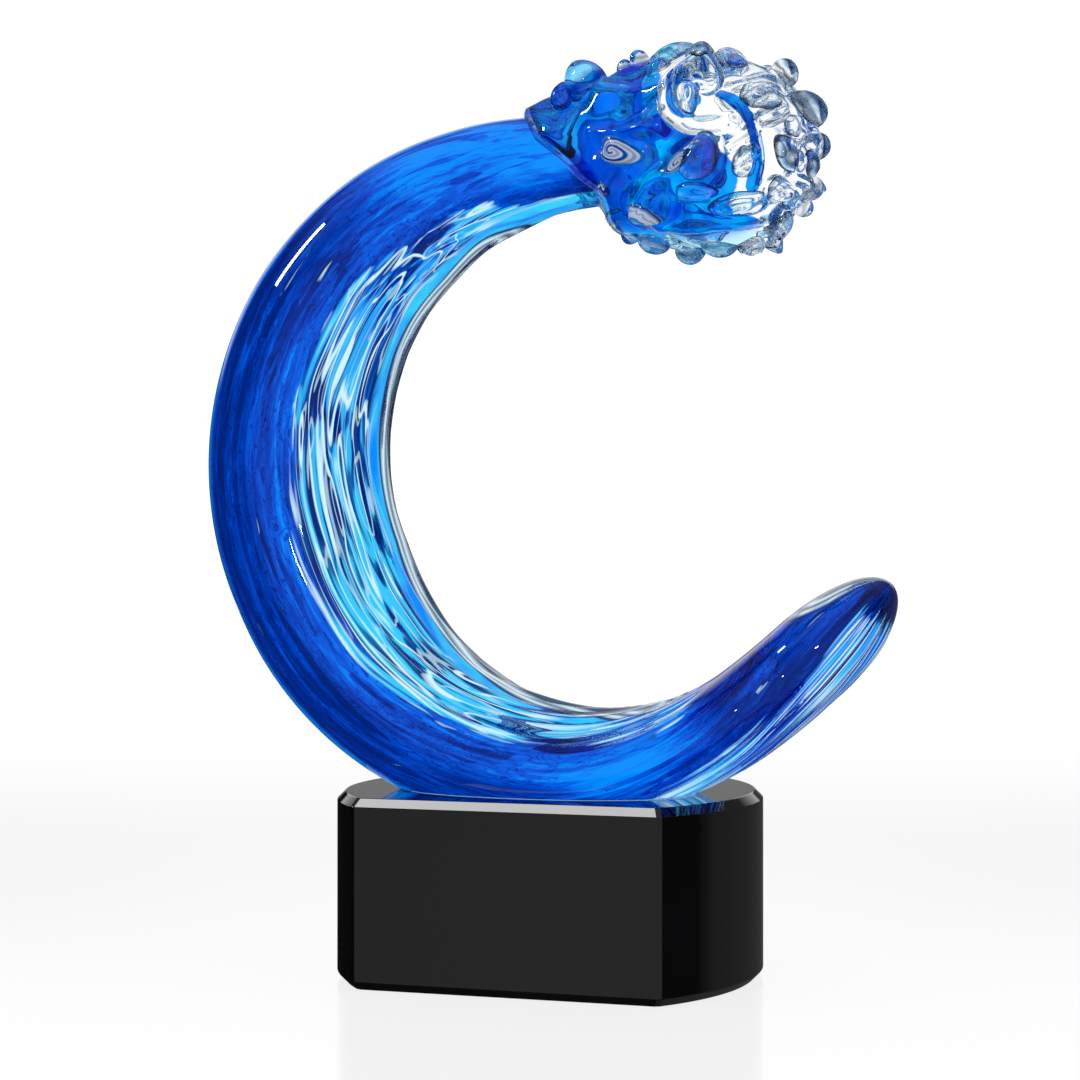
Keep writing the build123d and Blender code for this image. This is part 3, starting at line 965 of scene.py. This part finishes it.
# Tints of the crest; where the far side is clear the near side alone has to colour the light
crestTints = dict(
    hood=((0.0, 0.03, 0.40), (0.0, 0.085, 0.70), (0.0, 0.19, 0.92)),
    overArm=((0.0, 0.055, 0.58), (0.0, 0.095, 0.74), (0.0, 0.17, 0.92)),
    alone=((0.0, 0.003, 0.20), (0.0, 0.030, 0.62), (0.0, 0.14, 0.95)),
    under=(0.34, 0.78, 1.0),
    # painted shade for steep slopes: dark navy here, and smoky grey further down
    hollow=(0.0, 0.010, 0.20),
    lipDark=(0.0, 0.015, 0.22),
    # a painted highlight along the lip
    lipHighlight=(0.72, 0.84, 0.82),
    smoke=(0.16, 0.20, 0.26),
)


def crestGlass():
    material, tree, shader = newMaterial("crestGlass")
    place = objectPlace(tree)
    swirl = addNoise(tree, place, (75, 75, 75), 3.0, 1.2)
    tones = {}
    for name in ("hood", "overArm", "alone"):
        tones[name] = addRamp(tree, swirl, list(zip((0.37, 0.50, 0.63), crestTints[name])))
    blueColour = addMix(tree, addAttribute(tree, "alone"), tones["hood"], tones["alone"])
    blueColour = addMix(tree, addAttribute(tree, "overArm"), blueColour, tones["overArm"])
    blueColour = addMix(tree, addAttribute(tree, "under"), blueColour, crestTints["under"])
    steepShade = addAttribute(tree, "steepShade")
    # painted shade: steep slopes of the relief turn the blue to dark navy and the clear to smoky grey
    blueColour = addMix(tree, steepShade, blueColour, crestTints["hollow"])
    clearColour = addMix(tree, steepShade, bareGlass, crestTints["smoke"])
    edge = addMath(tree, "ADD", addAttribute(tree, "blue"), addSpread(tree, swirl, 1.8))
    cased = addMix(tree, addRange(tree, edge, 0.42, 0.58), clearColour, blueColour)
    lipNear = addAttribute(tree, "lipNear")
    dark = addRamp(tree, lipNear, [(0.10, (1, 1, 1)), (0.18, (1, 1, 1)), (0.42, (0, 0, 0))])
    # a painted highlight: the skin right at the lip turns pale, with a navy band a little further in
    pale = addRange(tree, lipNear, 0.10, 0.06)
    cased = addMix(tree, addMix(tree, pale, dark, (0, 0, 0)), cased, crestTints["lipDark"])
    feed(tree, shader.inputs["Base Color"], addMix(tree, pale, cased, crestTints["lipHighlight"]))
    finishGlass(tree, shader, place, (120, 120, 120), 0.05)
    return material


# The thin rounded edge of the hood, where no blue lies; the light the glass catches there is a painted
# highlight, pale and partly clouded
def lipHighlightGlass():
    material, tree, shader = newMaterial("lipHighlightGlass")
    place = objectPlace(tree)
    cloud = addNoise(tree, place, (160, 160, 160), 2.0)
    tints = [(0.40, (0.30, 0.42, 0.60)), (0.60, (0.88, 0.92, 0.92))]
    feed(tree, shader.inputs["Base Color"], addRamp(tree, cloud, tints))
    finishGlass(tree, shader, place, (120, 120, 120), 0.05, 0.35)
    return material


makeCrest(crestGlass(), lipHighlightGlass())


# Foam drops

dropShape = dict(
    seat=0.03 * mm,
    rings=30,
    seatRings=10,
    around=64,
    twist=13.0,
    wobble=((2, 0.09), (3, 0.06)),  # waves round the outline and their height as a share of the radius
    eyeShift=0.22,
)


# A drop fused to the crest: a ball's cap set on the worked surface, curled by a spiral wave of its height,
# and closed below by a seat that follows the surface. Also gives two shares at each point: the spiral, and
# the distance from an eye set off the middle, from 0 there to 1 at the edge
def dropSkin(place, turn, radius, tint, height, stretch, lean, curls, depth):
    spread, twist = radius * mm, dropShape["twist"]
    edge = 2 * atan(height) if height < 1 else acos(1 - height)
    ball = spread / sin(min(edge, pi / 2))
    fall = edge * np.linspace(0, 1, dropShape["rings"] + 1)[1:, None]
    inward = ball * sin(edge) * np.linspace(1, 0, dropShape["seatRings"], endpoint=False)[:, None]
    swing = 2 * pi * np.arange(dropShape["around"])[None, :] / dropShape["around"]
    out = np.concatenate([ball * np.sin(fall), inward])
    spiral = (1 + np.cos(curls * swing + twist * out / spread)) / 2
    reach = out / spread
    shift = dropShape["eyeShift"] * (1 - reach**2)
    ring = np.hypot(reach * np.cos(swing) - shift * cos(turn), reach * np.sin(swing) - shift * sin(turn))
    out = out * (1 + sum(size * np.cos(waves * swing + place * waves) for waves, size in dropShape["wobble"]))
    stand = ball * (np.cos(fall) - cos(edge)) * (1 - depth * spiral[: len(fall)])
    seat = np.full((len(inward), dropShape["around"]), -dropShape["seat"])
    middle, outward = crestSpot(np.array(place * mm), np.array(radians(turn)))
    sideways = np.array([0, -sin(radians(turn)), cos(radians(turn))])
    lengthways = np.cross(sideways, outward)
    ahead, aside = out * np.cos(swing) * stretch, out * np.sin(swing) / stretch
    slew = radians(lean)
    along = cos(slew) * ahead - sin(slew) * aside
    across = sin(slew) * ahead + cos(slew) * aside
    local = middle + along[..., None] * lengthways + across[..., None] * sideways
    skin, away = crestSkin(*crestPlace(local))
    rings = skin + away * np.concatenate([stand, seat])[..., None]
    foot = crestSkin(np.array(place * mm), np.array(radians(turn)))[0]
    top = foot + outward * ball * (1 - cos(edge)) * (1 - depth)
    curl = np.concatenate([np.broadcast_to(spiral, rings.shape[:2]).reshape(-1), [1.0, 1.0]])
    ring = np.concatenate([ring.reshape(-1), [dropShape["eyeShift"]] * 2])
    shares = {"curl": curl, "ring": ring}
    return skinOf(toFrame(rings), toFrame(top), toFrame(foot - outward * dropShape["seat"])), shares


# Colours along one of the drop's shares, frayed by a noise, inside a darker outline of painted shade
def dropGlass(name, share, stops, outline, clearness=1.0):
    material, tree, shader = newMaterial(name)
    place = objectPlace(tree)
    fray = addSpread(tree, addNoise(tree, place, (210, 210, 210), 3.0, 1.5), 0.5)
    inner = addRamp(tree, addMath(tree, "ADD", addAttribute(tree, share), fray), stops)
    rim = addMath(tree, "MULTIPLY_ADD", fray, 0.3, addAttribute(tree, "ring"))
    # painted shade: the outline darkens the drop's edge as refraction would
    outlineShadeStops = [(0.83, (0, 0, 0)), (0.92, (1, 1, 1)), (0.97, (1, 1, 1)), (1.0, (0.3, 0.3, 0.3))]
    feed(tree, shader.inputs["Base Color"], addMix(tree, addRamp(tree, rim, outlineShadeStops), inner, outline))
    finishGlass(tree, shader, place, (200, 200, 200), 0.04, clearness)
    return material


smoky, mist, icy = (0.10, 0.13, 0.20), (0.62, 0.72, 0.80), (0.85, 0.96, 1.0)
dropMaterials = dict(
    blue=dropGlass("blueDropGlass", "ring", [
        (0.06, icy), (0.15, (0.6, 0.9, 1.0)), (0.27, (0.06, 0.52, 0.92)), (0.40, (0.25, 0.75, 1.0)),
        (0.54, (0.02, 0.36, 0.85)), (0.70, (0.10, 0.60, 1.0)), (0.86, (0.25, 0.76, 1.0)),
    ], (0.0, 0.05, 0.40)),
    teal=dropGlass("tealDropGlass", "ring", [
        (0.05, icy), (0.18, (0.35, 0.85, 1.0)), (0.36, (0.08, 0.62, 0.95)), (0.50, (0.35, 0.85, 1.0)),
        (0.60, icy), (0.85, bareGlass),
    ], (0.08, 0.24, 0.40)),
    pearl=dropGlass("pearlDropGlass", "ring", [
        (0.06, icy), (0.14, (0.1, 0.66, 1.0)), (0.30, (0.05, 0.50, 0.92)), (0.38, (0.0, 0.16, 0.50)),
        (0.44, icy), (0.66, (0.95, 0.98, 1.0)), (0.72, (0.20, 0.45, 0.75)), (0.78, icy),
    ], (0.0, 0.10, 0.40), 0.45),
    lagoon=dropGlass("lagoonDropGlass", "ring", [
        (0.06, (0.30, 0.85, 1.0)), (0.18, (0.02, 0.55, 0.92)), (0.34, (0.0, 0.36, 0.75)),
        (0.44, (0.05, 0.62, 0.98)), (0.52, icy), (0.64, icy), (0.72, (0.30, 0.80, 1.0)), (0.84, icy),
    ], (0.06, 0.20, 0.38), 0.88),
    clear=dropGlass("clearDropGlass", "ring", [
        (0.10, bareGlass), (0.28, (0.93, 0.96, 0.98)), (0.37, (0.68, 0.78, 0.86)), (0.45, bareGlass),
        (0.68, bareGlass), (0.76, (0.55, 0.80, 0.98)), (0.84, bareGlass),
    ], (0.26, 0.31, 0.38)),
    smoke=dropGlass("smokyDropGlass", "ring", [
        (0.06, (0.90, 0.95, 0.97)), (0.17, mist), (0.29, smoky), (0.52, smoky), (0.64, (0.10, 0.36, 0.78)),
        (0.76, icy), (0.86, bareGlass),
    ], (0.06, 0.08, 0.11)),
    swirl=dropGlass("swirlDropGlass", "curl", [
        (0.04, (0.0, 0.06, 0.30)), (0.22, (0.05, 0.30, 0.75)), (0.34, (0.90, 0.94, 0.94)),
        (0.80, (0.97, 0.98, 0.97)), (0.92, (0.45, 0.55, 0.62)),
    ], (0.0, 0.3, 0.85), 0.5),
    lined=dropGlass("linedDropGlass", "curl", [
        (0.02, (0.0, 0.30, 0.75)), (0.16, (0.25, 0.68, 1.0)), (0.28, bareGlass), (0.80, bareGlass),
        (0.96, mist),
    ], (0.12, 0.17, 0.25)),
)
for number, drop in enumerate(nodeDrops, 1):
    name = f"foam_drop_{number:02d}"
    skin, shares = dropSkin(*drop)
    newPiece("glass_" + name, skin, dropMaterials[drop[3]], [name], shares)
for kind, material in dropMaterials.items():
    made = [dropSkin(*drop) for drop in smallDrops if drop[3] == kind]
    if made:
        skins, shares = zip(*made)
        joined = {name: np.concatenate([share[name] for share in shares]) for name in shares[0]}
        newPiece(f"small_{kind}_drops", joinSkins(skins), material, (), joined)


# Studio

studio = dict(
    cameraPlace=(173.4 * mm, -569.1 * mm, 104.4 * mm),
    cameraHeading=17.2,
    lens=82.0,
    backdrop=1.15,  # brightness seen directly and through the glass
    fill=1.1,  # brightness that lights the floor
    # brightness of the room in reflections
    roomFront=0.17,  # behind the camera
    roomSide=0.007,
    roomBackLow=0.28,  # behind the object, low and high
    roomBackHigh=1.0,
    backStep=(0.13, 0.17),  # heights between which low turns to high
    ceiling=0.22,
    rightPanel=0.072,
    edgeDark=0.06,  # dark rings round the line of sight, seen only through the glass
    ringsEnd=(-0.2, -0.5),  # heights between which the rings fade to white
    floorSize=30.0,
    floorGlow=0.94,
    floorPolish=0.13,
    polishReach=(0.3, 0.9),
)
# Soft lights: place, aim, size across and along, power, and whether they shine on the block alone
studioLights = dict(
    leftStrip=((-0.86, -0.13, 0.75), (-0.05, -0.03, 0.17), (0.10, 0.22), 2.0, False),
    frontBox=((0.16, -1.05, 0.31), (0.0, 0.0, 0.10), (0.06, 0.05), 0.5, False),
    overheadBox=((-0.34, -0.12, 1.15), (0.0, -0.03, 0.04), (0.55, 0.55), 4.2, True),
)


def makeCamera():
    data = bpy.data.cameras.new("camera")
    data.lens = studio["lens"]
    camera = bpy.data.objects.new("camera", data)
    camera.location = studio["cameraPlace"]
    camera.rotation_euler = (pi / 2, 0, radians(studio["cameraHeading"]))
    bpy.context.scene.collection.objects.link(camera)
    bpy.context.scene.camera = camera


# White to the eye; through the glass white with dark rings, which draw its edges; in reflections a dim room
def makeWorld():
    world = bpy.data.worlds.new("studio")
    world.use_nodes = True
    tree = world.node_tree
    rays = addNode(tree, "ShaderNodeLightPath").outputs
    way = addNode(tree, "ShaderNodeTexCoord").outputs["Generated"]
    black, full = (0, 0, 0), (1, 1, 1)

    def shade(key):
        return (studio[key],) * 3

    def towards(direction):
        dot = addNode(tree, "ShaderNodeVectorMath", {0: way, 1: direction}, operation="DOT_PRODUCT")
        return dot.outputs["Value"]

    heading = radians(studio["cameraHeading"])
    toCamera, toRight = (sin(heading), -cos(heading), 0), (cos(heading), sin(heading), 0)
    facing = addMath(tree, "MULTIPLY_ADD", towards(toCamera), 0.5, 0.5)
    right = towards(toRight)
    height = addNode(tree, "ShaderNodeSeparateXYZ", {"Vector": way}).outputs["Z"]
    high = addRange(tree, height, *studio["backStep"])
    back = addMix(tree, high, shade("roomBackLow"), shade("roomBackHigh"))
    wide = addRamp(tree, facing, [(0.03, full), (0.12, black)])
    narrow = addRamp(tree, facing, [(0.006, full), (0.014, black)])
    room = addRamp(tree, facing, [(0.7, shade("roomSide")), (0.9, shade("roomFront"))])
    rightHalf = addRamp(tree, right, [(0.0, black), (0.2, full)])
    panel = addMath(tree, "MULTIPLY", rightHalf, addRamp(tree, facing, [(0.40, full), (0.50, black)]))
    room = addMix(tree, panel, room, shade("rightPanel"))
    room = addMix(tree, addMix(tree, high, narrow, wide), room, back)
    room = addMix(tree, addRamp(tree, height, [(0.50, black), (0.80, full)]), room, shade("ceiling"))
    white, dark = shade("backdrop"), shade("edgeDark")
    through = addRamp(tree, facing, [
        (0.29, white), (0.31, dark), (0.33, dark), (0.35, white),
        (0.65, white), (0.67, dark), (0.69, dark), (0.71, white),
    ])
    through = addMix(tree, addRange(tree, height, *studio["ringsEnd"]), through, white)
    light = addMix(tree, rays["Is Transmission Ray"], room, through)
    light = addMix(tree, rays["Is Diffuse Ray"], light, shade("fill"))
    light = addMix(tree, rays["Is Camera Ray"], light, white)
    feed(tree, tree.nodes["Background"].inputs["Color"], light)
    bpy.context.scene.world = world


def stagePlane(name, corners, material):
    mesh = bpy.data.meshes.new(name)
    mesh.from_pydata(corners, [], [(0, 1, 2, 3)])
    mesh.materials.append(material)
    plane = bpy.data.objects.new(name, mesh)
    bpy.context.scene.collection.objects.link(plane)
    return plane


# A white sheet with a faint polish round the object
def makeFloor():
    material, tree, shader = newMaterial("paleFloor")
    shader.inputs["Base Color"].default_value = (0.14, 0.14, 0.14, 1)
    shader.inputs["Roughness"].default_value = 1.0
    shader.inputs["Specular IOR Level"].default_value = 0
    shader.inputs["Emission Color"].default_value = (1, 1, 1, 1)
    shader.inputs["Emission Strength"].default_value = studio["floorGlow"]
    gloss = addNode(tree, "ShaderNodeBsdfGlossy", {"Roughness": 0.1})
    length = addNode(tree, "ShaderNodeVectorMath", {0: objectPlace(tree)}, operation="LENGTH")
    polish = addRange(tree, length.outputs["Value"], *studio["polishReach"], 0.0, studio["floorPolish"])
    layers = {0: polish, 1: shader.outputs["BSDF"], 2: gloss.outputs["BSDF"]}
    mix = addNode(tree, "ShaderNodeMixShader", layers)
    feed(tree, tree.nodes["Material Output"].inputs["Surface"], mix.outputs["Shader"])
    far = studio["floorSize"]
    floor = stagePlane("floor", [(-far, -far, 0), (far, -far, 0), (far, far, 0), (-far, far, 0)], material)
    floor.visible_glossy = False
    floor.visible_transmission = False
    return floor


def makeLight(name, place, aim, size, power, blockOnly):
    data = bpy.data.lights.new(name, "AREA")
    data.shape = "RECTANGLE"
    data.size, data.size_y = size
    data.energy = power
    light = bpy.data.objects.new(name, data)
    light.location = place
    light.rotation_euler = (Vector(aim) - Vector(place)).to_track_quat("-Z", "Y").to_euler()
    light.visible_transmission = False
    light.visible_diffuse = False
    lit = bpy.data.collections.new(name + "Lit")
    lit.objects.link(base if blockOnly else floor)
    if not blockOnly:
        lit.collection_objects[0].light_linking.link_state = "EXCLUDE"  # no bright spot on the floor's polish
    light.light_linking.receiver_collection = lit
    bpy.context.scene.collection.objects.link(light)


makeCamera()
makeWorld()
floor = makeFloor()
for name, settings in studioLights.items():
    makeLight(name, *settings)
print("studio set")

scene = bpy.context.scene
scene.view_settings.view_transform = "Standard"
scene.cycles.max_bounces = 24
scene.cycles.transmission_bounces = 24
scene.cycles.glossy_bounces = 12
scene.cycles.caustics_refractive = False
scene.cycles.caustics_reflective = False
